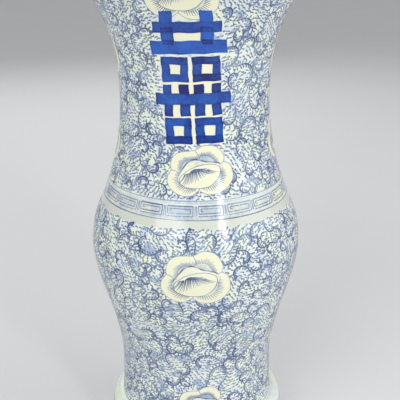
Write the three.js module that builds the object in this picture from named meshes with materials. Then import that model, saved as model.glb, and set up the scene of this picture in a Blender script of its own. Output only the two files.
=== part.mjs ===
// A porcelain vase of gu form: a trumpet neck, a bellied middle and a spreading foot.
// It is thrown on the wheel as three sections, which are luted together with clay slip.
// Millimetres, +Z up. The origin is the middle of the foot ring's resting face.
import * as THREE from "three";

// Heights of the rings that shape the outline, from the resting face
const HEIGHT = 450;
const NECK_HEIGHT = 349;
const SHOULDER_HEIGHT = 251;
const BELLY_HEIGHT = 211.5;
const WAIST_HEIGHT = 89;
const CREASE_HEIGHT = 48;
const FOOT_SHOULDER_HEIGHT = 32;
const FOOT_EDGE_HEIGHT = 5;

// Outer radius at each of those rings
const LIP_RADIUS = 100;
const NECK_RADIUS = 65;
const SHOULDER_RADIUS = 86;
const BELLY_RADIUS = 95.4;
const WAIST_RADIUS = 72;
const CREASE_RADIUS = 74;
const FOOT_SHOULDER_RADIUS = 84.5;
const FOOT_EDGE_RADIUS = 87;

// Thickness of the wall, measured level from the outside to the inside
const LIP_WALL = 4.6;
const NECK_WALL = 5.4;
const SHOULDER_WALL = 8;
const BELLY_WALL = 6.5;
const WAIST_WALL = 7;
const CREASE_WALL = 8;

// Foot ring and the floor above it
const RING_OUTER_RADIUS = 84.5;
const RING_INNER_RADIUS = 76;
const RECESS_RADIUS = 73;
const RECESS_HEIGHT = 13;
const FLOOR_HEIGHT = 22;
const FLOOR_CORNER = 7;

// Luting joints: a stepped lap with a layer of slip in it
const SLIP_THICKNESS = 1;
const LAP_HEIGHT = 5;

const SEGMENTS = 48;
const LIP_STEPS = 4;
const CORNER_STEPS = 3;

const point = (radius, height) => new THREE.Vector2(radius, height);
const curve = (...points) => new THREE.CubicBezierCurve(...points);

// The outline, ring to ring. The wall stands upright at the neck, the belly and the waist.
const halfSlip = SLIP_THICKNESS / 2;
const lipEdgeHeight = HEIGHT - LIP_WALL / 2;
const neckToLip = curve(
  point(NECK_RADIUS, NECK_HEIGHT),
  point(NECK_RADIUS, NECK_HEIGHT + 47),
  point(LIP_RADIUS - 20, lipEdgeHeight - 23),
  point(LIP_RADIUS, lipEdgeHeight),
);
const shoulderToNeck = curve(
  point(SHOULDER_RADIUS, SHOULDER_HEIGHT + halfSlip),
  point(SHOULDER_RADIUS - 15.2, SHOULDER_HEIGHT + 33),
  point(NECK_RADIUS, NECK_HEIGHT - 34),
  point(NECK_RADIUS, NECK_HEIGHT),
);
const bellyToShoulder = curve(
  point(BELLY_RADIUS, BELLY_HEIGHT),
  point(BELLY_RADIUS, BELLY_HEIGHT + 14.5),
  point(SHOULDER_RADIUS + 6.4, SHOULDER_HEIGHT - 14),
  point(SHOULDER_RADIUS, SHOULDER_HEIGHT - halfSlip),
);
const waistToBelly = curve(
  point(WAIST_RADIUS, WAIST_HEIGHT),
  point(WAIST_RADIUS, WAIST_HEIGHT + 49),
  point(BELLY_RADIUS, BELLY_HEIGHT - 35.5),
  point(BELLY_RADIUS, BELLY_HEIGHT),
);
const creaseToWaist = curve(
  point(CREASE_RADIUS, CREASE_HEIGHT + halfSlip),
  point(CREASE_RADIUS - 0.8, CREASE_HEIGHT + 12),
  point(WAIST_RADIUS, WAIST_HEIGHT - 14),
  point(WAIST_RADIUS, WAIST_HEIGHT),
);
const footShoulder = curve(
  point(FOOT_SHOULDER_RADIUS, FOOT_SHOULDER_HEIGHT),
  point(FOOT_SHOULDER_RADIUS - 0.5, CREASE_HEIGHT - 6),
  point(CREASE_RADIUS + 6, CREASE_HEIGHT - halfSlip),
  point(CREASE_RADIUS, CREASE_HEIGHT - halfSlip),
);
const footSpread = curve(
  point(FOOT_EDGE_RADIUS, FOOT_EDGE_HEIGHT),
  point(FOOT_EDGE_RADIUS - 0.6, FOOT_EDGE_HEIGHT + 8),
  point(FOOT_SHOULDER_RADIUS + 0.5, FOOT_SHOULDER_HEIGHT - 10),
  point(FOOT_SHOULDER_RADIUS, FOOT_SHOULDER_HEIGHT),
);

// One stretch of wall, bottom to top: the outside follows the curve, and the wall's thickness
// changes evenly from the lower ring to the upper one.
function wall(outline, steps, lowerWall, upperWall) {
  return outline.getPoints(steps).map((outside, i) => {
    const thickness = THREE.MathUtils.lerp(lowerWall, upperWall, i / steps);
    return { outside, inside: point(outside.x - thickness, outside.y) };
  });
}

// Two stretches share the ring where they meet.
const joined = (lower, upper) => [...lower, ...upper.slice(1)];

// The step of a luting joint, from the outside in: a ledge, a riser and a higher ledge.
// It ends at the inner ledge's corner over the riser, and the wall's own points close it.
function lapStep(radius, thickness, height, out, up) {
  const riser = radius - thickness / 2 + out;
  return [point(riser, height + up), point(riser, height + up + LAP_HEIGHT)];
}

function turned(outline) {
  const geometry = new THREE.LatheGeometry([...outline, outline[0]], SEGMENTS);
  return geometry.rotateX(Math.PI / 2);
}

// The lip is a half round over the wall's top.
function lipRound(edge) {
  const middle = edge.x - LIP_WALL / 2;
  return Array.from({ length: LIP_STEPS - 1 }, (_, i) => {
    const angle = (Math.PI * (i + 1)) / LIP_STEPS;
    return point(
      middle + (LIP_WALL / 2) * Math.cos(angle),
      edge.y + (LIP_WALL / 2) * Math.sin(angle),
    );
  });
}

// Inside point of the wall at the top of a lap, above the wall's own lowest point
const raised = (inside, rise) => point(inside.x, inside.y + rise);

function neckSection() {
  const stations = joined(
    wall(shoulderToNeck, 8, SHOULDER_WALL, NECK_WALL),
    wall(neckToLip, 8, NECK_WALL, LIP_WALL),
  );
  const bottom = stations[0];
  const lap = lapStep(bottom.outside.x, SHOULDER_WALL, bottom.outside.y, halfSlip, 0);
  return turned([
    ...stations.map((s) => s.outside),
    ...lipRound(stations.at(-1).outside),
    ...stations.slice(1).map((s) => s.inside).reverse(),
    raised(bottom.inside, LAP_HEIGHT),
    ...lap.reverse(),
  ]);
}

function bellySection() {
  const stations = joined(
    joined(
      wall(creaseToWaist, 3, CREASE_WALL, WAIST_WALL),
      wall(waistToBelly, 8, WAIST_WALL, BELLY_WALL),
    ),
    wall(bellyToShoulder, 4, BELLY_WALL, SHOULDER_WALL),
  );
  const bottom = stations[0];
  const top = stations.at(-1);
  const upperLap = lapStep(top.outside.x, SHOULDER_WALL, top.outside.y, -halfSlip, 0);
  const lowerLap = lapStep(bottom.outside.x, CREASE_WALL, bottom.outside.y, halfSlip, 0);
  return turned([
    ...stations.map((s) => s.outside),
    ...upperLap,
    raised(top.inside, LAP_HEIGHT),
    ...stations.slice(1, -1).map((s) => s.inside).reverse(),
    raised(bottom.inside, LAP_HEIGHT),
    ...lowerLap.reverse(),
  ]);
}

// The foot holds the floor, which is recessed under it, so that only the ring rests.
function footSection() {
  const outside = [...footSpread.getPoints(4), ...footShoulder.getPoints(5).slice(1)];
  const top = outside.at(-1);
  const lap = lapStep(top.x, CREASE_WALL, top.y, -halfSlip, 0);
  const insideRadius = top.x - CREASE_WALL;
  const corner = Array.from({ length: CORNER_STEPS + 1 }, (_, i) => {
    const angle = (-Math.PI / 2) * (i / CORNER_STEPS);
    return point(
      insideRadius - FLOOR_CORNER + FLOOR_CORNER * Math.cos(angle),
      FLOOR_HEIGHT + FLOOR_CORNER + FLOOR_CORNER * Math.sin(angle),
    );
  });
  const outline = [
    point(0, RECESS_HEIGHT),
    point(RECESS_RADIUS - 2, RECESS_HEIGHT),
    point(RECESS_RADIUS, RECESS_HEIGHT - 2),
    point(RING_INNER_RADIUS, 0),
    point(RING_OUTER_RADIUS, 0),
    ...outside,
    ...lap,
    point(insideRadius, top.y + LAP_HEIGHT),
    ...corner,
    point(0, FLOOR_HEIGHT),
  ];
  return new THREE.LatheGeometry(outline, SEGMENTS).rotateX(Math.PI / 2);
}

// The slip fills the joint between the two steps.
function seamSlip(radius, thickness, height) {
  const low = height - halfSlip;
  const high = height + halfSlip;
  const inside = radius - thickness;
  const lowerStep = lapStep(radius, thickness, low, -halfSlip, 0);
  const upperStep = lapStep(radius, thickness, high, halfSlip, 0);
  return turned([
    point(radius, low),
    point(radius, high),
    ...upperStep,
    point(inside, high + LAP_HEIGHT),
    point(inside, low + LAP_HEIGHT),
    ...lowerStep.reverse(),
  ]);
}

const porcelain = new THREE.MeshStandardMaterial({ color: 0xb9c4d6, roughness: 0.15 });
const slip = new THREE.MeshStandardMaterial({ color: 0xe9e4d8, roughness: 0.8 });

function piece(name, geometry, material) {
  const mesh = new THREE.Mesh(geometry, material);
  mesh.name = name;
  return mesh;
}

const vase = new THREE.Group();
vase.add(
  piece("neck_section", neckSection(), porcelain),
  piece("belly_section", bellySection(), porcelain),
  piece("foot_section", footSection(), porcelain),
  piece("upper_seam_slip", seamSlip(SHOULDER_RADIUS, SHOULDER_WALL, SHOULDER_HEIGHT), slip),
  piece("lower_seam_slip", seamSlip(CREASE_RADIUS, CREASE_WALL, CREASE_HEIGHT), slip),
);

export default vase;
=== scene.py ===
# %% [markdown]
# A porcelain vase of gu form, painted in cobalt blue under a clear glaze.
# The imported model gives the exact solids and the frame. This script keeps their sizes and gives them
# what a potter and a painter would: smooth thrown walls, a glaze, and a wall covered in brushwork.
# Everything is in metres, the vase stands on its foot ring at the origin, and its front faces -Y.

# %% Load the frame
import math
import random

import bmesh
import bpy
import numpy as np
from mathutils import Matrix, Vector


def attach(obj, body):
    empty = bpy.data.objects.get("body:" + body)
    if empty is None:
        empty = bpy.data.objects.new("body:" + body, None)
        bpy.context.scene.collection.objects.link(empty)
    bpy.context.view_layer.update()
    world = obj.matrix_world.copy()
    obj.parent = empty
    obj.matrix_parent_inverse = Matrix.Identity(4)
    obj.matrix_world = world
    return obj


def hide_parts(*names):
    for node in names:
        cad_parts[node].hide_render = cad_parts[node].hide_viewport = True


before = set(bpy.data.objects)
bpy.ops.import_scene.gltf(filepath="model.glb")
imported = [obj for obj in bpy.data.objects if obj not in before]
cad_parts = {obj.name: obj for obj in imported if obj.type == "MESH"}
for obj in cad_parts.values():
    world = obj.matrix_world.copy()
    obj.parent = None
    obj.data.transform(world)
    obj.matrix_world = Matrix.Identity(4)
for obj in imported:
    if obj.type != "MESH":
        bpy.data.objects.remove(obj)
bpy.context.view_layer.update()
MM = 0.001
print("nodes in the frame:", sorted(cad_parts))

# %% [markdown]
# The outline of a thrown vase is a chain of smooth curves between its rings: lip, neck, shoulder,
# belly, waist, crease and foot. The wall stands upright where the outline turns back, so the handles
# of a cubic curve point straight up there. The same rings carry the solids, so the fine walls made
# here lie exactly where the solids lie, only with more steps.

# %% The rings of the outline
HEIGHT = 450
LIP_WALL, NECK_WALL, SHOULDER_WALL, BELLY_WALL, WAIST_WALL, CREASE_WALL = 4.6, 5.4, 8, 6.5, 7, 8
LIP, NECK, SHOULDER = (100, HEIGHT - LIP_WALL / 2), (65, 349), (86, 251)
BELLY, WAIST, CREASE = (95.4, 211.5), (72, 89), (74, 48)
FOOT_SHOULDER, FOOT_EDGE = (84.5, 32), (87, 5)


def cubic(points, steps):
    """Points along a cubic curve, as rows of radius and height."""
    t = np.linspace(0, 1, steps + 1)[:, None]
    a, b, c, d = (np.array(p, float) for p in points)
    return (1 - t) ** 3 * a + 3 * (1 - t) ** 2 * t * b + 3 * (1 - t) * t**2 * c + t**3 * d


STRETCHES = {
    "foot": [
        [FOOT_EDGE, (86.4, 13), (85, 22), FOOT_SHOULDER],
        [FOOT_SHOULDER, (84, 42), (80, 48), CREASE],
    ],
    "belly": [
        [CREASE, (73.2, 60), (WAIST[0], 75), WAIST],
        [WAIST, (WAIST[0], 138), (BELLY[0], 176), BELLY],
        [BELLY, (BELLY[0], 226), (92.4, 237), SHOULDER],
    ],
    "neck": [
        [SHOULDER, (70.8, 284), (NECK[0], 315), NECK],
        [NECK, (NECK[0], 396), (80, LIP[1] - 23), LIP],
    ],
}
WALLS = {
    "foot": [(CREASE_WALL, CREASE_WALL), (CREASE_WALL, CREASE_WALL)],
    "belly": [(CREASE_WALL, WAIST_WALL), (WAIST_WALL, BELLY_WALL), (BELLY_WALL, SHOULDER_WALL)],
    "neck": [(SHOULDER_WALL, NECK_WALL), (NECK_WALL, LIP_WALL)],
}
STEPS = 44
OUTLINE = {
    name: np.vstack([cubic(s, STEPS)[1 if i else 0 :] for i, s in enumerate(stretches)])
    for name, stretches in STRETCHES.items()
}

# %% [markdown]
# Paint follows the wall, so a place on the vase is told by two numbers: the angle round it, from the
# front, and the path, which is how far a thread laid on the outside climbs from the foot's edge.
# One table of the whole outline turns those two numbers into a point in space and a direction that
# faces straight out of the wall.

# %% From angle and path to a place on the wall
WHOLE = np.vstack([OUTLINE["foot"], OUTLINE["belly"][1:], OUTLINE["neck"][1:]])
PATH = np.concatenate([[0], np.cumsum(np.hypot(*np.diff(WHOLE, axis=0).T))])
SLOPE = np.gradient(WHOLE, PATH, axis=0)


def path_at(height):
    return float(np.interp(height, WHOLE[:, 1], PATH))


def radius_at(path):
    return np.interp(path, PATH, WHOLE[:, 0])


def on_wall(angle, path, lift):
    """Places in metres, lift millimetres off the wall, and the wall's outward directions there."""
    radius, height = radius_at(path), np.interp(path, PATH, WHOLE[:, 1])
    climb = np.interp(path, PATH, SLOPE[:, 1])
    spread = np.interp(path, PATH, SLOPE[:, 0])
    length = np.hypot(climb, spread)
    out, up = climb / length, -spread / length
    radius = radius + lift * out
    places = np.stack([radius * np.sin(angle), -radius * np.cos(angle), height + lift * up], 1)
    normals = np.stack([out * np.sin(angle), -out * np.cos(angle), up], 1)
    return places * MM, normals


CREASE_PATH, SEAM_PATH, TOP_PATH = path_at(CREASE[1] + 0.01), path_at(SHOULDER[1]), float(PATH[-1])
print("the outline is", round(TOP_PATH), "mm long, foot edge to lip")

# %% [markdown]
# Shader maths reads best as plain arithmetic. A small class wraps a socket and gives it the usual
# operators, and one method adds any other node. Colours go through the Mix node, because a Math node
# would turn them grey.


# %% Sockets that can be added and multiplied
class Wire:
    """One output of a node, used in arithmetic."""

    def __init__(self, finish, socket):
        self.finish = finish
        self.socket = socket

    def __add__(self, other):
        return self.finish.math("ADD", self, other)

    def __sub__(self, other):
        return self.finish.math("SUBTRACT", self, other)

    def __rsub__(self, other):
        return self.finish.math("SUBTRACT", other, self)

    def __mul__(self, other):
        return self.finish.math("MULTIPLY", self, other)

    __radd__ = __add__
    __rmul__ = __mul__


class Finish:
    """A material under construction."""

    def __init__(self, name):
        self.material = bpy.data.materials.new(name)
        self.material.use_nodes = True
        self.tree = self.material.node_tree
        self.tree.nodes.clear()
        self.place = self.node("ShaderNodeTexCoord", output="Object")

    def node(self, kind, settings=None, inputs=None, output=0):
        node = self.tree.nodes.new(kind)
        for key, value in (settings or {}).items():
            setattr(node, key, value)
        for key, value in (inputs or {}).items():
            if isinstance(value, Wire):
                self.tree.links.new(value.socket, node.inputs[key])
            else:
                node.inputs[key].default_value = value
        return Wire(self, node.outputs[output]) if node.outputs else None

    def math(self, operation, a, b=0.0, clamp=False):
        return self.node("ShaderNodeMath", {"operation": operation, "use_clamp": clamp}, {0: a, 1: b})

    def mix(self, factor, first, second):
        inputs = {0: factor, 6: first, 7: second}
        return self.node("ShaderNodeMix", {"data_type": "RGBA"}, inputs, output=2)

    def noise(self, scale, detail=2.0, output=0):
        inputs = {"Vector": self.place, "Scale": scale, "Detail": detail}
        return self.node("ShaderNodeTexNoise", None, inputs, output=output)

    def band(self, value, low, high):
        """0 below low, 1 above high, and an even climb between them."""
        inputs = {"Value": value, "From Min": low, "From Max": high}
        return self.node("ShaderNodeMapRange", {"clamp": True}, inputs)

    def done(self, inputs):
        shader = self.node("ShaderNodeBsdfPrincipled", None, inputs)
        self.node("ShaderNodeOutputMaterial", None, {"Surface": shader})
        return self.material


def colour(red, green, blue):
    """An sRGB colour of 0 to 255, as the linear numbers that a shader takes."""
    parts = [c / 255 for c in (red, green, blue)]
    linear = [c / 12.92 if c <= 0.04045 else ((c + 0.055) / 1.055) ** 2.4 for c in parts]
    return (*linear, 1.0)


# %% [markdown]
# Three finishes cover the vase. The glazed porcelain is a faintly blue white that drifts towards
# green where the glaze lies thick, with the soft ripple of a glaze that has flowed. The foot ring is
# wiped clean before firing, so its bare clay is matt and tan. Cobalt lies under the same glaze, so it
# shines alike, and its depth comes from how much pigment the brush left: an attribute called ink.

# %% Glazed porcelain
GLAZE_ROUGHNESS = 0.13


def glaze_surface(finish):
    """Roughness and normal of the flowed glaze, the same over white and over paint."""
    ripple = finish.noise(70.0, 3.0)
    pits = finish.noise(900.0, 1.0)
    height = ripple * 0.8 + pits * 0.06
    normal = finish.node("ShaderNodeBump", None, {"Strength": 0.12, "Distance": 0.0006, "Height": height})
    roughness = finish.noise(160.0) * 0.08 + (GLAZE_ROUGHNESS - 0.03)
    return {"Roughness": roughness, "Normal": normal, "Coat Weight": 0.0, "IOR": 1.5}


def between(finish, value, low, high, edge):
    """1 from low to high, and 0 outside, with soft edges."""
    return finish.band(value, low, low + edge) * (1 - finish.band(value, high - edge, high))


def porcelain_finish():
    finish = Finish("glazed_porcelain")
    height = finish.node("ShaderNodeSeparateXYZ", None, {0: finish.place}, output=2)
    strip = between(finish, height, 0.2508, 0.2590, 0.0008)
    belt = between(finish, height, 0.2584, 0.2735, 0.0010)
    scrolled = between(finish, height, 0.0500, 0.4420, 0.0030) * (1 - belt)
    cream, greenish = colour(234, 240, 232), colour(236, 243, 216)
    ground = finish.mix(finish.band(finish.noise(60.0), 0.42, 0.6), cream, greenish)
    haze = finish.band(finish.noise(150.0, 3.0), 0.46, 0.64) * (0.3 + scrolled * 0.45)
    ground = finish.mix(haze, ground, colour(206, 218, 234))
    wash = finish.band(finish.noise(118.0, 1.0), 0.60, 0.67) * scrolled
    ground = finish.mix(wash * 0.7, ground, colour(146, 166, 208))
    ground = finish.mix(belt * 0.75, ground, colour(212, 224, 230))
    ground = finish.mix(strip, ground, colour(215, 219, 207))
    specks = finish.band(finish.noise(700.0, 0.0), 0.80, 0.84)
    ground = finish.mix(specks * 0.5, ground, colour(120, 112, 96))
    return finish.done({"Base Color": ground, **glaze_surface(finish)})


def inside_finish():
    finish = Finish("glazed_inside")
    pale, grey = colour(226, 231, 228), colour(205, 213, 212)
    ground = finish.mix(finish.band(finish.noise(18.0, 3.0), 0.35, 0.7), pale, grey)
    return finish.done({"Base Color": ground, **glaze_surface(finish)})


def biscuit_finish():
    finish = Finish("bare_foot_clay")
    grain = finish.noise(900.0, 4.0)
    stain = finish.band(finish.noise(60.0, 3.0), 0.45, 0.7)
    tan = finish.mix(stain, colour(214, 200, 176), colour(168, 138, 104))
    tan = finish.mix(grain * 0.35, tan, colour(235, 226, 208))
    normal = finish.node("ShaderNodeBump", None, {"Strength": 0.5, "Distance": 0.0004, "Height": grain})
    return finish.done({"Base Color": tan, "Roughness": 0.85, "Normal": normal})


# %% Cobalt under the glaze
def cobalt_finish(name, thin, full):
    """Paint between a thin wash and a full stroke, by the ink that the brush left."""
    finish = Finish(name)
    ink = finish.node("ShaderNodeAttribute", {"attribute_name": "ink"}, None, output="Fac")
    streaks = finish.noise(420.0, 3.0)
    drift = finish.noise(70.0)
    amount = finish.math("ADD", ink, (streaks - 0.5) * 0.9 + (drift - 0.5) * 1.3, clamp=True)
    return finish.done({"Base Color": finish.mix(amount, thin, full), **glaze_surface(finish)})


glazed = porcelain_finish()
glazed_inside = inside_finish()
biscuit = biscuit_finish()
scroll_paint = cobalt_finish("scroll_cobalt", colour(161, 177, 194), colour(72, 90, 135))
sign_paint = cobalt_finish("sign_cobalt", colour(38, 94, 188), colour(4, 26, 106))
petal_paint = cobalt_finish("petal_cream", colour(241, 240, 211), colour(156, 178, 208))

# %% [markdown]
# Each section is one closed shell: up the outside, over the top, down the inside and back under. The
# profile goes round the axis in fine steps. A UV map lays it out flat, angle by path, for anyone who
# wants to paint on it later.

# %% Turned shells
TURNS = 192


def turned(name, profile, closed_on_axis, finishes, finish_of):
    """A solid of revolution. profile is a loop of (radius, height) in millimetres."""
    profile = np.array(profile, float)
    rows = len(profile)
    angles = np.linspace(0, 2 * math.pi, TURNS, endpoint=False)
    verts = np.stack(
        [
            np.outer(profile[:, 0], np.sin(angles)),
            -np.outer(profile[:, 0], np.cos(angles)),
            np.repeat(profile[:, 1:], TURNS, axis=1),
        ],
        2,
    ).reshape(-1, 3) * MM
    spans = rows - 1 if closed_on_axis else rows
    along = np.concatenate([[0], np.cumsum(np.hypot(*np.diff(np.vstack([profile, profile[:1]]), axis=0).T))])
    faces, uvs, marks = [], [], []
    for row in range(spans):
        nxt = (row + 1) % rows
        low, high = along[row] / along[-1], along[row + 1] / along[-1]
        mark = finish_of(profile[row], profile[nxt])
        for turn in range(TURNS):
            other = (turn + 1) % TURNS
            corners = [row * TURNS + turn, row * TURNS + other, nxt * TURNS + other, nxt * TURNS + turn]
            left, right = turn / TURNS, (turn + 1) / TURNS
            spots = [(left, low), (right, low), (right, high), (left, high)]
            if profile[row, 0] == 0:
                corners, spots = corners[1:], spots[1:]
            elif profile[nxt, 0] == 0:
                corners, spots = corners[:3], spots[:3]
            faces.append(corners)
            uvs.extend(spots)
            marks.append(mark)
    mesh = bpy.data.meshes.new(name)
    mesh.from_pydata(verts.tolist(), [], faces)
    layer = mesh.uv_layers.new(name="OFBake")
    layer.uv.foreach_set("vector", np.array(uvs, np.float32).ravel())
    for material in finishes:
        mesh.materials.append(material)
    mesh.polygons.foreach_set("material_index", marks)
    if closed_on_axis:
        merge_axis(mesh)
    mesh.shade_smooth()
    mesh.set_sharp_from_angle(angle=math.radians(50))
    piece = bpy.data.objects.new(name, mesh)
    bpy.context.scene.collection.objects.link(piece)
    print(name, len(mesh.polygons), "faces")
    return piece


def merge_axis(mesh):
    """The points of a ring of no radius become one."""
    shell = bmesh.new()
    shell.from_mesh(mesh)
    bmesh.ops.remove_doubles(shell, verts=[v for v in shell.verts if v.co.xy.length < 1e-6], dist=1e-6)
    shell.to_mesh(mesh)
    shell.free()


def inner_wall(name):
    """The inside of a section's wall, bottom to top."""
    rows = []
    for i, (stretch, (low, high)) in enumerate(zip(STRETCHES[name], WALLS[name])):
        outside = cubic(stretch, STEPS)
        thickness = np.linspace(low, high, STEPS + 1)
        rows.append(np.stack([outside[:, 0] - thickness, outside[:, 1]], 1)[1 if i else 0 :])
    return np.vstack(rows)


def arc(centre, radius, start, end, steps):
    """Points on a circle, by angles in degrees."""
    angles = np.radians(np.linspace(start, end, steps + 1))
    return np.stack([centre[0] + radius * np.cos(angles), centre[1] + radius * np.sin(angles)], 1)


# %% The three sections
def outside_or_inside(first, last):
    """0 for the painted outside, 1 for the inside."""
    middle = (first + last) / 2
    outer = np.interp(middle[1], WHOLE[:, 1], WHOLE[:, 0])
    return 0 if middle[0] > outer - 2.4 else 1


neck_lip = arc((LIP[0] - LIP_WALL / 2, LIP[1]), LIP_WALL / 2, 0, 180, 12)
neck_profile = np.vstack([OUTLINE["neck"][:-1], neck_lip, inner_wall("neck")[::-1][1:]])
neck = turned("neck_porcelain", neck_profile, False, [glazed, glazed_inside], outside_or_inside)

belly_profile = np.vstack([OUTLINE["belly"], inner_wall("belly")[::-1]])
belly = turned("belly_porcelain", belly_profile, False, [glazed, glazed_inside], outside_or_inside)

RECESS, FLOOR, CORNER, RING = (73, 13), 22, 7, (76, 84.5)
foot_inside = CREASE[0] - CREASE_WALL
foot_profile = np.vstack(
    [
        [(0, RECESS[1]), (30, RECESS[1]), (60, RECESS[1]), (RECESS[0] - 2, RECESS[1])],
        [(RECESS[0] - 0.6, RECESS[1] - 0.6), (RECESS[0], RECESS[1] - 2), (RING[0] - 0.4, 1.2)],
        [(RING[0] + 0.3, 0.25), (RING[0] + 1.2, 0), (RING[1] - 1.4, 0), (RING[1] - 0.3, 0.3)],
        [(RING[1] + 1.4, 1.8), (RING[1] + 2.2, 3.4)],
        OUTLINE["foot"],
        [(foot_inside, CREASE[1])],
        arc((foot_inside - CORNER, FLOOR + CORNER), CORNER, 0, -90, 8),
        [(30, FLOOR), (0, FLOOR)],
    ]
)


def foot_part(first, last):
    """0 outside and 1 inside, and 2 for the wiped ring."""
    middle = (first + last) / 2
    if middle[1] < 1.9 and middle[0] > RING[0] - 1:
        return 2
    return 0 if middle[0] > CREASE[0] - 0.1 and middle[1] > 1 else 1


foot = turned("foot_porcelain", foot_profile, True, [glazed, glazed_inside, biscuit], foot_part)

# %% [markdown]
# The painting is laid out on a flat sheet, stroke by stroke, and then wrapped on the wall. Each
# stroke keeps the place of its own motif, so that it is as wide on the slim neck as on the belly. A
# stroke is a ribbon: pairs of points along a line, with a width and an ink at each. The ribbon's
# normals are the wall's own, so the glaze shines over paint and ground as one surface.


# %% Brush strokes on a sheet
PATCH_CELL = 2.0
RING_STEP = 2.6


class Sheet:
    """Strokes collected for one finish: points, faces, ink, and the place of each motif."""

    def __init__(self):
        self.points, self.faces, self.ink, self.homes, self.lifts = [], [], [], [], []
        self.count = 0

    def add(self, points, faces, ink, home, lift):
        self.points.append(np.asarray(points, float))
        self.faces.extend([tuple(i + self.count for i in face) for face in faces])
        self.ink.append(np.broadcast_to(np.asarray(ink, float), (len(points),)))
        self.homes.append(np.broadcast_to(np.asarray(home, float), (len(points), 2)))
        self.lifts.append(np.full(len(points), float(lift)))
        self.count += len(points)

    def ribbon(self, line, width, ink, home, lift):
        """A stroke along a line of points. width and ink are one number or one for each point."""
        line = np.asarray(line, float)
        along = np.gradient(line, axis=0)
        along /= np.maximum(np.hypot(*along.T), 1e-9)[:, None]
        side = np.stack([-along[:, 1], along[:, 0]], 1)
        half = np.broadcast_to(np.asarray(width, float), (len(line),))[:, None] / 2
        points = np.empty((2 * len(line), 2))
        points[0::2], points[1::2] = line - side * half, line + side * half
        faces = [(2 * i, 2 * i + 2, 2 * i + 3, 2 * i + 1) for i in range(len(line) - 1)]
        inks = np.repeat(np.broadcast_to(np.asarray(ink, float), (len(line),)), 2)
        self.add(points, faces, inks, home, lift)

    def disc(self, rim, centre, shades, home, lift):
        """A filled shape, in rings narrow enough to bend with the wall.
        shades lists (share of the way to the rim, ink), from the centre out."""
        rim, centre = np.asarray(rim, float), np.asarray(centre, float)
        n = len(rim)
        following = np.roll(rim, -1, axis=0)
        if np.sum(rim[:, 0] * following[:, 1] - following[:, 0] * rim[:, 1]) < 0:
            rim = rim[::-1]
        rings = max(2, math.ceil(np.max(np.hypot(*(rim - centre).T)) / RING_STEP))
        shares = np.arange(1, rings + 1) / rings
        points = np.vstack([[centre], *[centre + (rim - centre) * share for share in shares]])
        inks = np.interp(np.concatenate([[0], np.repeat(shares, n)]), *zip(*shades))
        faces = [(0, 1 + i, 1 + (i + 1) % n) for i in range(n)]
        for ring in range(rings - 1):
            a, b = 1 + ring * n, 1 + (ring + 1) * n
            faces += [(a + i, b + i, b + (i + 1) % n, a + (i + 1) % n) for i in range(n)]
        self.add(points, faces, inks, home, lift)

    def patch(self, low, high, ink, edge_ink, home, lift, shape=lambda x, y: (x, y)):
        """A filled rectangle in small cells. shape moves its points, and edge_ink is for its border."""
        (x0, y0), (x1, y1) = low, high
        columns, rows = max(3, int((x1 - x0) / PATCH_CELL)), max(3, int((y1 - y0) / PATCH_CELL))
        points, inks = [], []
        for r in range(rows + 1):
            for c in range(columns + 1):
                points.append(shape(x0 + (x1 - x0) * c / columns, y0 + (y1 - y0) * r / rows))
                inks.append(edge_ink if c in (0, columns) or r in (0, rows) else ink)
        step = columns + 1
        corners = [r * step + c for r in range(rows) for c in range(columns)]
        self.add(points, [(i, i + 1, i + step + 1, i + step) for i in corners], inks, home, lift)


def wrapped(name, points, faces, ink, homes, lifts, material):
    """A mesh object on the wall from strokes on the sheet."""
    path = homes[:, 1] + points[:, 1]
    path = np.clip(path, 0.5, TOP_PATH - 0.2)
    angle = homes[:, 0] + points[:, 0] / radius_at(path)
    places, normals = on_wall(angle, path, lifts)
    mesh = bpy.data.meshes.new(name)
    mesh.from_pydata(places.tolist(), [], faces)
    mesh.materials.append(material)
    store = mesh.attributes.new("ink", "FLOAT", "POINT")
    store.data.foreach_set("value", ink.astype(np.float32))
    corner = np.empty(len(mesh.loops), np.int32)
    mesh.loops.foreach_get("vertex_index", corner)
    layer = mesh.uv_layers.new(name="OFBake")
    flat = np.stack([(angle / (2 * math.pi) + 0.5) % 1, path / TOP_PATH], 1)
    layer.uv.foreach_set("vector", flat[corner].astype(np.float32).ravel())
    mesh.shade_smooth()
    mesh.normals_split_custom_set_from_vertices(normals.tolist())
    piece = bpy.data.objects.new(name, mesh)
    bpy.context.scene.collection.objects.link(piece)
    print(name, len(mesh.polygons), "faces")
    return piece


def wrap_sheet(name, sheet, material):
    stacks = (np.vstack(sheet.points), sheet.faces, np.concatenate(sheet.ink))
    return wrapped(name, *stacks, np.vstack(sheet.homes), np.concatenate(sheet.lifts), material)


# %% [markdown]
# Where things go. The large sign stands on the neck, front and back, and leans a little, as brush
# lettering does. A flower head sits above and below it, one on the belly and one at the waist, and
# the same flowers fill the sides. A fret band closes the neck. What is left is scrollwork.

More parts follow.
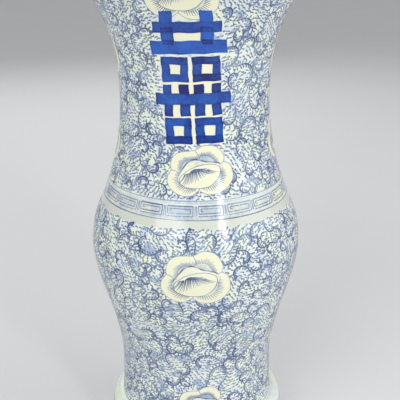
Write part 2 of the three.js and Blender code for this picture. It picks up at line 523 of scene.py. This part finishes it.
# %% Places of the motifs
FRONT, RIGHT, BACK, LEFT = 0.0, math.pi / 2, math.pi, -math.pi / 2
SIGN_HOME = 340.0
SIGN_LEAN = 0.056
SIGN_SPANS = [
    # path from, path to, half width
    (325, 347, 23.6), (347, 356.4, 23.8), (356.4, 365.6, 31), (365.6, 396.8, 23.8),
    (396.8, 407.8, 30.6), (407.8, 414, 20.8), (414, 423.4, 27), (423.4, 433, 20.8),
]
BAND_LOW, BAND_HIGH = 263.4, 279.0
PLAIN_LOW = 257.0
FLOWERS = [
    # angle, path, width, height, turn in degrees
    (FRONT - 0.105, 449.0, 55.0, 46.0, -3.0),
    (FRONT + 0.055, 303.4, 54.5, 39.5, 4.0),
    (FRONT + 0.00, 215.0, 57.5, 46.5, -2.0),
    (FRONT + 0.065, 72.0, 47.0, 38.0, 3.0),
    (BACK + 0.05, 449.0, 55.0, 46.0, 4.0),
    (BACK - 0.05, 303.4, 54.0, 39.5, -5.0),
    (BACK + 0.02, 215.0, 57.5, 46.5, 3.0),
    (BACK - 0.04, 72.0, 47.0, 38.0, -3.0),
    (RIGHT + 0.03, 398.0, 50.0, 44.0, 4.0),
    (RIGHT - 0.06, 318.0, 48.0, 42.0, -6.0),
    (RIGHT + 0.02, 212.0, 56.0, 46.0, 5.0),
    (RIGHT - 0.03, 128.0, 50.0, 42.0, -4.0),
    (LEFT + 0.05, 396.0, 50.0, 44.0, -5.0),
    (LEFT - 0.02, 316.0, 48.0, 42.0, 4.0),
    (LEFT + 0.03, 214.0, 56.0, 46.0, -3.0),
    (LEFT - 0.05, 130.0, 50.0, 42.0, 6.0),
]
UNDER = 0.42  # scrollwork may run a little way under the petals, which lie over it
SIGNS = [FRONT - 0.018, BACK - 0.018]
SECTIONS = {
    "foot": (0, CREASE_PATH),
    "belly": (CREASE_PATH, SEAM_PATH),
    "neck": (SEAM_PATH, TOP_PATH),
}
painting = {name: Sheet() for name in SECTIONS}
petals = {name: Sheet() for name in SECTIONS}


def section_of(path):
    return next(name for name, (low, high) in SECTIONS.items() if low <= path <= high)


def turn_apart(a, b):
    """The smallest angle from b to a."""
    return (a - b + math.pi) % (2 * math.pi) - math.pi


def is_free(angle, path, margin):
    """True where scrollwork may go, margin millimetres clear of everything else."""
    radius = float(radius_at(path))
    if path < 7 + margin or path > TOP_PATH - 9 - margin:
        return False
    if CREASE_PATH - 17 - margin < path < CREASE_PATH + 3 + margin:
        return False
    if PLAIN_LOW - margin < path < BAND_HIGH + margin:
        return False
    for home in SIGNS:
        across = abs(turn_apart(angle, home) * radius + SIGN_LEAN * (path - SIGN_HOME))
        for low, high, half in SIGN_SPANS:
            if across < half + margin and low - margin < path < high + margin:
                return False
    for at, middle, width, height, _ in FLOWERS:
        across, up = turn_apart(angle, at) * radius, path - middle
        if (across / (width * UNDER + margin)) ** 2 + (up / (height * UNDER + margin)) ** 2 < 1:
            return False
    return True


# %% [markdown]
# Scrollwork is tendrils that swing out one way and curl inwards the other way, with comma leaves along
# both sides like the teeth of a comb, and rows of more commas wherever ground is left. Tendrils are
# thrown at random on the wall and kept if they are far enough from the others, which gives the even
# but restless spread of quick brushwork. The seed is fixed, so the same vase comes out each time.

# %% Tendrils
rng = random.Random(7)
CURL_GAP = 14.5
TENDRIL_WIDTH = 1.25
LEAF_STEP = 2.45
CELL = 4.0


class Crowd:
    """Places already taken, kept in cells so that a new one is compared with its neighbours only."""

    def __init__(self):
        self.cells = {}

    def key(self, angle, path):
        return int(angle % (2 * math.pi) * 80 / CELL), int(path / CELL)

    def add(self, angle, path):
        self.cells.setdefault(self.key(angle, path), []).append((angle, path))

    def near(self, angle, path, gap):
        radius = float(radius_at(path))
        column, row = self.key(angle, path)
        reach = int(gap / CELL * 1.35) + 1
        columns = int(2 * math.pi * 80 / CELL) + 1
        for c in range(column - reach, column + reach + 1):
            for r in range(row - reach, row + reach + 1):
                for a, p in self.cells.get((c % columns, r), ()):
                    if math.hypot(turn_apart(angle, a) * radius, path - p) < gap:
                        return True
        return False


def tendril(size, start, hand):
    """A line of one tail and one curl, about its own middle."""
    steps = 30
    step = 34 * size / steps
    heading, spot, line = start, np.zeros(2), []
    for i in range(steps + 1):
        line.append(spot)
        share = max(0, i / steps - 0.25) / 0.75
        bend = 0.8 + 1.4 * share**2 if share else -0.7
        heading += hand * bend * step / (8.5 * size)
        spot = spot + step * np.array([math.cos(heading), math.sin(heading)])
    return np.array(line) - np.mean(line, axis=0)


def longest_run(flags):
    """Start and end of the longest row of true flags."""
    best, start = (0, 0), None
    for i, flag in enumerate([*flags, False]):
        if flag and start is None:
            start = i
        elif not flag and start is not None:
            best = max(best, (start, i), key=lambda span: span[1] - span[0])
            start = None
    return best


curls, leaves = Crowd(), Crowd()
leaf_spots = []
drawn = 0
for _ in range(9000):
    angle, path = rng.uniform(-math.pi, math.pi), rng.uniform(4, TOP_PATH - 4)
    size = rng.uniform(0.6, 1.35)
    if not is_free(angle, path, 2.5) or curls.near(angle, path, CURL_GAP * size):
        continue
    curls.add(angle, path)
    hand = rng.choice((-1, 1))
    line = tendril(size, rng.uniform(0, 2 * math.pi), hand)
    radius = float(radius_at(path))
    start, end = longest_run([is_free(angle + x / radius, path + y, 0.6) for x, y in line])
    line = line[start:end]
    if len(line) < 10:
        continue
    drawn += 1
    share = np.linspace(0, 1, len(line))
    width = np.interp(share, [0, 0.3, 0.8, 1], [0.4, 1, 1.1, 0.7]) * TENDRIL_WIDTH
    sheet = painting[section_of(path)]
    sheet.ribbon(line, width, np.interp(share, [0, 0.4, 1], [0.5, 0.8, 0.9]), (angle, path), 0.052)
    turns = np.arange(0, 6.2, 0.7)
    rim = line[-1] + np.stack([1.3 * np.cos(turns), 1.5 * np.sin(turns)], 1)
    sheet.disc(rim, line[-1], [(0, 0.9), (1, 0.6)], (angle, path), 0.056)
    travelled = LEAF_STEP / 2
    for before, here in zip(line, line[1:]):
        travelled += math.dist(before, here)
        leaves.add(angle + here[0] / radius, path + here[1])
        if travelled < LEAF_STEP:
            continue
        travelled = 0.0
        heading = math.atan2(here[1] - before[1], here[0] - before[0])
        for side in (-1, 1):
            aim = heading + side * rng.uniform(1.0, 1.35)
            spot = here + 2.2 * np.array([math.cos(aim), math.sin(aim)])
            place = (angle + spot[0] / radius, path + spot[1])
            if is_free(*place, 1.0) and not (side == hand and leaves.near(*place, 1.5)):
                leaf_spots.append((*place, aim, rng.uniform(0.85, 1.1), side))
                leaves.add(*place)
print(drawn, "tendrils with", len(leaf_spots), "leaves")

# %% [markdown]
# The rest of the ground is filled row by row. The rows wave up and down, and the commas of a row lean
# nearly alike, because the painter's hand swings in one direction for a while.

# %% Leaves on the ground that is left
ROW, COLUMN = 2.55, 3.7
for row in range(int(TOP_PATH / ROW)):
    base = (row + 0.5) * ROW
    around = int(2 * math.pi * float(radius_at(base)) / COLUMN)
    for column in range(around):
        angle = 2 * math.pi * (column + row % 2 / 2 + rng.uniform(-0.25, 0.25)) / around
        path = base + ROW * (1.6 * math.sin(3 * angle + base / 17) + rng.uniform(-0.25, 0.25))
        if not is_free(angle, path, 1.0) or leaves.near(angle, path, 1.75):
            continue
        lean = 0.55 * math.sin(2 * angle + path / 19) + 0.4 * math.sin(5 * angle - path / 13)
        swing = math.sin(3 * angle + path / 23) + rng.uniform(-0.5, 0.5)
        turn = lean + (math.pi if swing > 0 else 0) + rng.uniform(-0.3, 0.3)
        leaf_spots.append((angle, path, turn, rng.uniform(0.8, 1.1), 1 if swing > -0.4 else -1))
print(len(leaf_spots), "comma leaves in all")

# %% [markdown]
# Thousands of commas are one shape, pressed again and again, so Geometry Nodes does the pressing: it
# puts an instance of the comma on each point, turned and sized by the point's own attributes, makes
# them real and gives them their paint. The points also carry the place of their motif, and every
# pressed comma inherits it, which the wrapping needs.


# %% The comma leaf
def comma(name, hand):
    """A thin tail that swells and curls round into a fat head, flat, about 4 mm long."""
    share = np.linspace(0, 1, 7)
    line = np.stack([4.3 * share - 2.2 - 0.9 * share**4, hand * (0.3 - 1.6 * share * (1 - share**3))], 1)
    sheet = Sheet()
    sheet.ribbon(line, np.interp(share, [0, 0.3, 0.75, 0.9, 1], [0.5, 1.0, 1.4, 1.5, 0.8]), 0, (0, 0), 0)
    ink = np.repeat(np.interp(share, [0, 0.5, 1], [0.2, 0.5, 0.8]), 2)
    mesh = bpy.data.meshes.new(name)
    flat = np.column_stack([sheet.points[0], np.zeros(len(sheet.points[0]))])
    mesh.from_pydata(flat.tolist(), [], sheet.faces)
    mesh.attributes.new("ink", "FLOAT", "POINT").data.foreach_set("value", ink.astype(np.float32))
    return bpy.data.objects.new(name, mesh)


commas = {1: comma("comma_left", 1), -1: comma("comma_right", -1)}


# %% The pressing tree
def pressing_tree():
    tree = bpy.data.node_groups.new("press_motif_on_points", "GeometryNodeTree")
    faces = tree.interface
    faces.new_socket("Points", in_out="INPUT", socket_type="NodeSocketGeometry")
    motif = faces.new_socket("Motif", in_out="INPUT", socket_type="NodeSocketObject")
    paint = faces.new_socket("Paint", in_out="INPUT", socket_type="NodeSocketMaterial")
    faces.new_socket("Painting", in_out="OUTPUT", socket_type="NodeSocketGeometry")
    kinds = {
        "given": "NodeGroupInput",
        "shape": "GeometryNodeObjectInfo",
        "turn": "GeometryNodeInputNamedAttribute",
        "size": "GeometryNodeInputNamedAttribute",
        "spin": "ShaderNodeCombineXYZ",
        "press": "GeometryNodeInstanceOnPoints",
        "real": "GeometryNodeRealizeInstances",
        "coat": "GeometryNodeSetMaterial",
        "result": "NodeGroupOutput",
    }
    nodes = {name: tree.nodes.new(kind) for name, kind in kinds.items()}
    for name in ("turn", "size"):
        nodes[name].data_type = "FLOAT"
        nodes[name].inputs["Name"].default_value = name
    wires = [
        ("given", "Points", "press", "Points"),
        ("given", "Motif", "shape", "Object"),
        ("shape", "Geometry", "press", "Instance"),
        ("turn", "Attribute", "spin", "Z"),
        ("spin", "Vector", "press", "Rotation"),
        ("size", "Attribute", "press", "Scale"),
        ("press", "Instances", "real", "Geometry"),
        ("real", "Geometry", "coat", "Geometry"),
        ("given", "Paint", "coat", "Material"),
        ("coat", "Geometry", "result", "Painting"),
    ]
    for source, output, target, entry in wires:
        tree.links.new(nodes[source].outputs[output], nodes[target].inputs[entry])
    return tree, motif.identifier, paint.identifier


TREE, MOTIF_INPUT, PAINT_INPUT = pressing_tree()


def pressed(spots, motif, paint):
    """Flat mesh data of the motif pressed at spots of (angle, path, turn, size)."""
    spots = np.array(spots, float)
    mesh = bpy.data.meshes.new("spots")
    mesh.from_pydata([(0, 0, 0)] * len(spots), [], [])
    for name, column in {"home_angle": 0, "home_path": 1, "turn": 2, "size": 3}.items():
        store = mesh.attributes.new(name, "FLOAT", "POINT")
        store.data.foreach_set("value", spots[:, column].astype(np.float32))
    holder = bpy.data.objects.new("spots", mesh)
    bpy.context.scene.collection.objects.link(holder)
    modifier = holder.modifiers.new("press", "NODES")
    modifier.node_group = TREE
    modifier[MOTIF_INPUT] = motif
    modifier[PAINT_INPUT] = paint
    seen = holder.evaluated_get(bpy.context.evaluated_depsgraph_get())
    real = bpy.data.meshes.new_from_object(seen)
    bpy.data.objects.remove(holder)
    places = np.empty(len(real.vertices) * 3, np.float32)
    real.vertices.foreach_get("co", places)
    columns = {}
    for name in ("home_angle", "home_path", "ink"):
        columns[name] = np.empty(len(real.vertices), np.float32)
        real.attributes[name].data.foreach_get("value", columns[name])
    faces = [tuple(p.vertices) for p in real.polygons]
    homes = np.stack([columns["home_angle"], columns["home_path"]], 1).astype(float)
    return places.reshape(-1, 3)[:, :2].astype(float), faces, columns["ink"].astype(float), homes


# %% Press the leaves, section by section
for section, (low, high) in SECTIONS.items():
    sheet = painting[section]
    for hand, motif in commas.items():
        chosen = [s[:4] for s in leaf_spots if low <= s[1] < high and s[4] == hand]
        if not chosen:
            continue
        points, faces, ink, homes = pressed(chosen, motif, scroll_paint)
        sheet.faces.extend([tuple(i + sheet.count for i in face) for face in faces])
        sheet.points.append(points)
        sheet.ink.append(ink)
        sheet.homes.append(homes)
        sheet.lifts.append(np.full(len(points), 0.045))
        sheet.count += len(points)
    print(section, "has", len(sheet.faces), "faces of scrollwork")

# %% [markdown]
# A flower head has four cream lobes, two above and two below, that meet in notches. A grey-blue wash
# and a ring of short hatching shade them towards the heart. One large petal lies over the middle, under
# a pale collar with a wavy dark edge. A dark spot sits on the petal's upper edge, and fine rays fan down
# from it. All shapes are given in shares of the flower's half width and half height.

# %% Flower heads
LOBES = [
    (1.0, -0.18), (0.91, 0.12), (0.74, 0.26), (0.76, 0.45), (0.70, 0.66), (0.57, 0.88), (0.37, 1.0),
    (0.12, 1.0), (-0.10, 0.86), (-0.32, 0.84), (-0.57, 0.80), (-0.77, 0.64), (-0.86, 0.37), (-0.87, 0.10),
    (-1.0, -0.18), (-1.0, -0.51), (-0.85, -0.79), (-0.57, -0.98), (-0.29, -0.97), (-0.09, -0.80),
    (0.12, -0.97), (0.46, -1.0), (0.79, -0.82), (0.98, -0.51),
]
COLLAR = [
    (0.66, -0.05), (0.62, 0.20), (0.42, 0.30), (0.18, 0.36), (0.02, 0.44), (-0.14, 0.48), (-0.33, 0.40),
    (-0.48, 0.18), (-0.66, -0.16), (-0.62, -0.40), (-0.2, -0.5), (0.3, -0.4),
]
PETAL = [
    (0.61, -0.06), (0.55, 0.13), (0.29, 0.24), (0.01, 0.22), (-0.29, 0.10), (-0.51, -0.09), (-0.63, -0.27),
    (-0.59, -0.52), (-0.35, -0.67), (-0.03, -0.71), (0.29, -0.64), (0.53, -0.36),
]
NOTCHES = [
    [(-0.09, -0.80), (-0.05, -0.70), (-0.02, -0.60)], [(0.74, 0.26), (0.66, 0.22), (0.60, 0.10)],
    [(-0.87, 0.10), (-0.74, 0.08), (-0.62, -0.06)], [(-0.10, 0.86), (-0.02, 0.66), (0.02, 0.5)],
]
RAYS = 23


def rounded(points, parts):
    """A smooth closed line through the points, in parts steps from each to the next."""
    points = np.array(points, float)
    before, after, beyond = (np.roll(points, shift, axis=0) for shift in (1, -1, -2))
    t = (np.arange(parts) / parts)[None, :, None]
    a, b, c, d = (p[:, None, :] for p in (before, points, after, beyond))
    bend = (2 * a - 5 * b + 4 * c - d) * t**2 + (3 * b - a - 3 * c + d) * t**3
    return (b + 0.5 * ((c - a) * t + bend)).reshape(-1, 2)


def flower(angle, path, width, height, turn):
    section = section_of(path)
    home = (angle, path)
    spin = math.radians(turn)
    rotate = np.array([[math.cos(spin), math.sin(spin)], [-math.sin(spin), math.cos(spin)]])
    room = min(1.0, (TOP_PATH - 7 - path) / (height / 2))
    cream, ink = petals[section], painting[section]

    def at(shares):
        shares = np.array(shares, float)
        shares[:, 1] = np.where(shares[:, 1] > 0, shares[:, 1] * room, shares[:, 1])
        return shares * (width / 2, height / 2) @ rotate

    def edge(rim, thick, depth, lift):
        ink.ribbon(np.vstack([rim, rim[:2]]), thick, depth, home, lift)

    heart = at([(0.0, -0.05)])[0]
    lobes = at(rounded(LOBES, 4))
    cream.disc(lobes, heart, [(0.4, 0.9), (0.58, 0.6), (0.68, 0.25), (0.78, -0.2), (1, -0.3)], home, 0.08)
    edge(lobes, 0.5, 0.2, 0.097)
    for rim in lobes:
        down = max(0, (heart[1] - rim[1]) / (height / 2))
        near, far = 0.60 + 0.07 * down, 0.76 + 0.11 * down + rng.uniform(-0.03, 0.03)
        line = heart + np.outer(np.linspace(near, far, 4), rim - heart)
        ink.ribbon(line, [0.7, 0.6, 0.5, 0.3], np.linspace(0.6 + 0.5 * down, 0.2, 4), home, 0.099)
    for notch in NOTCHES:
        ink.ribbon(cubic([at(notch)[i] for i in (0, 1, 1, 2)], 5), 0.6, 0.3, home, 0.101)
    collar = at(rounded(COLLAR, 4))
    cream.disc(collar, heart, [(0.5, 0.3), (0.9, 0.1), (1, 0.4)], home, 0.118)
    ink.ribbon(collar[4:33], 0.95, 0.7 + 0.5 * np.sin(np.arange(29) * 0.9), home, 0.134)
    petal = at(rounded(PETAL, 4))
    cream.disc(petal, heart, [(0.5, -0.3), (0.9, -0.3), (1, 0.1)], home, 0.152)
    edge(petal, 0.5, 0.5, 0.168)
    for i in range(RAYS):
        share = (i + rng.uniform(0.3, 0.7)) / RAYS
        root = np.array([-0.48 + 0.74 * share, -0.10 + 0.24 * share - 0.10 * share**2])
        reach = 0.30 + 0.24 * math.sin(math.pi * min(1, share * 1.3 + 0.1))
        tip = root + (0.60 * (share - 0.42), -reach * rng.uniform(0.85, 1.1) * (1.05 - 0.5 * share))
        line = cubic(at([root, root + (tip - root) * (0.2, 0.45), tip - (tip - root) * (0.3, 0.2), tip]), 6)
        dark = 1.1 if share < 0.75 else 0.6
        ink.ribbon(line, np.linspace(0.8, 0.3, 7), np.linspace(dark, 0.2, 7), home, 0.170)
    spot = cubic(at([(-0.30, -0.04), (-0.18, 0.04), (0.0, 0.02), (0.20, 0.08)]), 8)
    thick = np.interp(np.linspace(0, 1, 9), [0, 0.3, 0.6, 1], [0.6, 3.4, 2.6, 0.4])
    ink.ribbon(spot, thick, np.linspace(1.3, 0.5, 9), home, 0.173)


for place in FLOWERS:
    flower(*place)
print(len(FLOWERS), "flower heads")

# %% [markdown]
# The large sign on the neck is the common wedding ornament: two like halves of bars and square rings,
# joined by long bars. It is drawn from broad strokes that each bend with the wall. Two strokes that
# cross leave a darker patch, because the second brings its own pigment, so each stroke gets its own
# ink and the crossing one lies on top.

# %% The wedding sign
signs = Sheet()
SIGN_LIFT = 0.18
SIGN_TILT = 0.024


def leaning(home, phase=0.0, waver=0.0):
    """The shape of a stroke of the sign: it leans a little, and its edges waver."""

    def shape(x, y):
        across = x - SIGN_LEAN * (y - SIGN_HOME) + waver * math.sin(y * 0.5 + phase)
        return across, y - home[1] + SIGN_TILT * x + waver * math.sin(x * 0.35 + phase * 2)

    return shape


def broad_stroke(home, low, high, ink, lift):
    """A filled rectangle of brushwork between two corners, darker where the brush stopped."""
    shape = leaning(home, rng.uniform(0, 6), 0.28)
    signs.patch(low, high, ink, ink + 0.22, home, SIGN_LIFT + lift, shape)


def square_ring(home, left, low, width, height, lift):
    """Four strokes round a square opening."""
    post, side, bar = width * 0.33, width * 0.29, height * 0.31
    right, high = left + width, low + height
    broad_stroke(home, (left, low), (left + post, high), rng.uniform(0.2, 0.5), lift)
    broad_stroke(home, (right - side, low), (right, high), rng.uniform(0.1, 0.5), lift)
    broad_stroke(home, (left, low), (right, low + bar), rng.uniform(0.3, 0.7), lift + 0.006)
    broad_stroke(home, (left, high - bar), (right, high), rng.uniform(0.3, 0.8), lift + 0.012)


def wedding_sign(angle):
    home = (angle, 380.0)
    for low, high in (((-22, 326), (22.5, 345)), ((-22, 345), (22.5, 395)), ((-14, 404), (14.5, 416))):
        petals["neck"].patch(low, high, -0.3, -0.2, home, 0.03, leaning(home))
    for left, ink in ((-20.4, 0.3), (9.8, 0.0)):
        broad_stroke(home, (left, 397.5), (left + 10.2, 432.6), ink, 0)
    broad_stroke(home, (-26.8, 414.2), (26.6, 423.4), 0.35, 0.008)
    broad_stroke(home, (-30.2, 397.0), (30.2, 407.8), 0.15, 0.014)
    broad_stroke(home, (-29.8, 356.4), (31.8, 365.6), 0.3, 0.020)
    for left, ink in ((-20.0, 0.55), (10.2, 0.6)):
        broad_stroke(home, (left, 415.0), (left + 9.4, 419.0), ink, 0.026)
        broad_stroke(home, (left + 0.6, 404.6), (left + 9.0, 408.6), ink + 0.15, 0.026)
    upper = ((-22.6, 7.2, 0.6), (-9.6, 8.0, 0.95), (1.8, 8.2, 1.0), (16.2, 7.6, 0.7))
    lower = ((-22.6, 7.2, 0.7), (-9.6, 8.2, 0.6), (2.0, 8.2, 0.55), (15.6, 7.8, 0.6))
    for left, wide, ink in upper:
        broad_stroke(home, (left, 365.0), (left + wide, 372.8), ink, 0.026)
    for left, wide, ink in lower:
        broad_stroke(home, (left, 347.4), (left + wide, 357.0), ink, 0.026)
    for left, wide in ((-22.5, 21.2), (2.0, 22.0)):
        square_ring(home, left, 374.8, wide, 20.0, 0.032)
        square_ring(home, left - 0.5, 325.2, wide + 0.2, 20.8, 0.032)


for angle in SIGNS:
    wedding_sign(angle)

# %% [markdown]
# The fret band is a row of oblong key spirals between two lines, with a pale wash under them. One
# spiral is drawn as a single bent line and repeated round the shoulder, with small changes of size
# so that it looks painted and not printed. Plain lines mark the lip, the crease and the foot.

# %% Bands and lines
PANELS = 20


def ring_line(path, width, ink, paint=painting, lift=0.05):
    """A line all the way round, as the painter draws it while the vase turns on the wheel."""
    sheet = paint[section_of(path)]
    steps = 180
    for part in range(steps // 4):
        turn = np.linspace(part * 4, part * 4 + 4, 5) / steps * 2 * math.pi
        radius = float(radius_at(path))
        middle = turn[2]
        line = np.stack([(turn - middle) * radius, np.zeros(5)], 1)
        waver = 1 + 0.25 * np.sin(turn * 5 + path)
        sheet.ribbon(line, width * waver, ink + 0.15 * np.sin(turn * 3 + path), (middle, path), lift)


def fret_panel(angle):
    """A key spiral on a pale wash: two turns of an oblong, wound inwards."""
    home = (angle, (BAND_LOW + BAND_HIGH) / 2 - 0.5)
    wide, tall, pitch = 10.6 + rng.uniform(-0.6, 0.4), 4.1, 2.1
    petals["neck"].patch((-wide, -tall), (wide, tall), rng.uniform(0.2, 0.7), 0.35, home, 0.05)
    line = [(-wide, -tall)]
    x0, x1, y0, y1 = -wide, wide, -tall, tall
    for _ in range(2):
        line += [(x1, y0), (x1, y1), (x0, y1), (x0, y0 + pitch)]
        x0, x1, y0, y1 = x0 + pitch, x1 - pitch, y0 + pitch, y1 - pitch
        line.append((x0, y0))
    for first, last in zip(line, line[1:]):
        steps = max(2, int(math.dist(first, last) / 3))
        stroke = np.linspace(first, last, steps + 1)
        thick = rng.uniform(1.0, 1.3) if first[1] == last[1] == tall else rng.uniform(0.7, 1.0)
        painting["neck"].ribbon(stroke, thick, rng.uniform(0.1, 0.8), home, 0.065)
    for side in (-1, 1):
        tick = np.linspace((side * (wide + 1.6), -tall * 0.9), (side * (wide + 1.6), tall), 4)
        painting["neck"].ribbon(tick, 0.7, rng.uniform(0.1, 0.6), home, 0.065)


for i in range(PANELS):
    fret_panel(2 * math.pi * (i + 0.5) / PANELS)
ring_line(BAND_LOW, 0.9, 0.5)
ring_line(BAND_LOW + 2.3, 2.8, 0.45, petals)
ring_line(BAND_HIGH, 0.9, -0.1)
ring_line(BAND_HIGH - 1.6, 1.4, 0.35, petals)
ring_line(TOP_PATH - 8, 1.0, 0.7)
ring_line(TOP_PATH - 3.5, 3.6, 0.1)
ring_line(CREASE_PATH + 2.4, 1.0, 0.7)
ring_line(CREASE_PATH - 16, 1.0, 0.7)
ring_line(6.5, 1.2, 0.7)
print(PANELS, "fret panels")

# %% Wrap all the paint on the wall
sections = {"neck": neck, "belly": belly, "foot": foot}
for name, sheet in painting.items():
    brushwork = wrap_sheet(name + "_brushwork", sheet, scroll_paint)
    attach(brushwork, "root")
    if petals[name].count:
        blossoms = wrap_sheet(name + "_petals", petals[name], petal_paint)
        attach(blossoms, "root")
sign_piece = wrap_sheet("neck_wedding_signs", signs, sign_paint)
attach(sign_piece, "root")

# %% Tie the shells to the frame
for name, piece in sections.items():
    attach(piece, "root")
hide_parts("neck_section", "upper_seam_slip")
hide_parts("belly_section")
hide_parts("foot_section", "lower_seam_slip")
for motif in commas.values():
    bpy.data.objects.remove(motif)

# %% [markdown]
# The stage is a pale floor under soft light from large lamps, so that colours show about as they are
# written. A tall narrow lamp at the front right leaves the streak that tells the eye this is glaze.

# %% Floor, light and surroundings
floor_mesh = bpy.data.meshes.new("floor")
SIDE = 6.0
floor_corners = [(-SIDE, -SIDE, 0), (SIDE, -SIDE, 0), (SIDE, SIDE, 0), (-SIDE, SIDE, 0)]
floor_mesh.from_pydata(floor_corners, [], [(0, 1, 2, 3)])
floor = bpy.data.objects.new("floor", floor_mesh)
bpy.context.scene.collection.objects.link(floor)
floor_finish = Finish("pale_floor")
mottle = floor_finish.mix(floor_finish.noise(6.0), colour(226, 226, 224), colour(220, 221, 222))
floor_mesh.materials.append(floor_finish.done({"Base Color": mottle, "Roughness": 0.7}))


def soft_lamp(name, place, aim, size, power):
    lamp = bpy.data.lights.new(name, "AREA")
    lamp.shape = "RECTANGLE"
    lamp.size, lamp.size_y = size
    lamp.energy = power
    holder = bpy.data.objects.new(name, lamp)
    holder.location = place
    holder.rotation_euler = (Vector(aim) - Vector(place)).to_track_quat("-Z", "Y").to_euler()
    bpy.context.scene.collection.objects.link(holder)


soft_lamp("key", (-0.9, -1.5, 1.4), (0, 0, 0.25), (1.2, 1.2), 16)
soft_lamp("streak", (0.75, -1.25, 0.85), (0, 0, 0.28), (0.16, 0.7), 5)
soft_lamp("fill", (1.5, -0.4, 0.9), (0, 0, 0.25), (1.4, 1.4), 8)
soft_lamp("back", (-0.4, 1.6, 1.3), (0, 0, 0.25), (1.6, 1.2), 10)

world = bpy.data.worlds.new("soft_room")
bpy.context.scene.world = world
world.use_nodes = True
world.node_tree.nodes["Background"].inputs["Color"].default_value = colour(238, 240, 243)
world.node_tree.nodes["Background"].inputs["Strength"].default_value = 0.55

# %% [markdown]
# The camera stands close and looks down on the vase, which is why the band on the shoulder shows as a
# deep curve while the bars on the neck stay nearly straight. It leans by a third of a degree.

# %% Camera
IMAGE_SIDE = 400
FOCAL_PIXELS = 705
LOOK_DOWN = math.radians(20.6)
DISTANCE = 0.650
AIM = Vector((0, 0, 0.245))
AXIS_PIXEL = 195.5
ROLL = math.radians(-0.4)

camera_data = bpy.data.cameras.new("camera")
camera_data.sensor_width = 36
camera_data.lens = 36 * FOCAL_PIXELS / IMAGE_SIDE
camera_data.clip_start = 0.01
camera = bpy.data.objects.new("camera", camera_data)
place = AIM + DISTANCE * Vector((0, -math.cos(LOOK_DOWN), math.sin(LOOK_DOWN)))
facing = (AIM - place).to_track_quat("-Z", "Y").to_matrix().to_4x4()
swing = Matrix.Rotation(-(IMAGE_SIDE / 2 - AXIS_PIXEL) / FOCAL_PIXELS, 4, "Y")
camera.matrix_world = Matrix.Translation(place) @ facing @ swing @ Matrix.Rotation(ROLL, 4, "Z")
bpy.context.scene.collection.objects.link(camera)
bpy.context.scene.camera = camera
bpy.context.scene.view_settings.view_transform = "Standard"
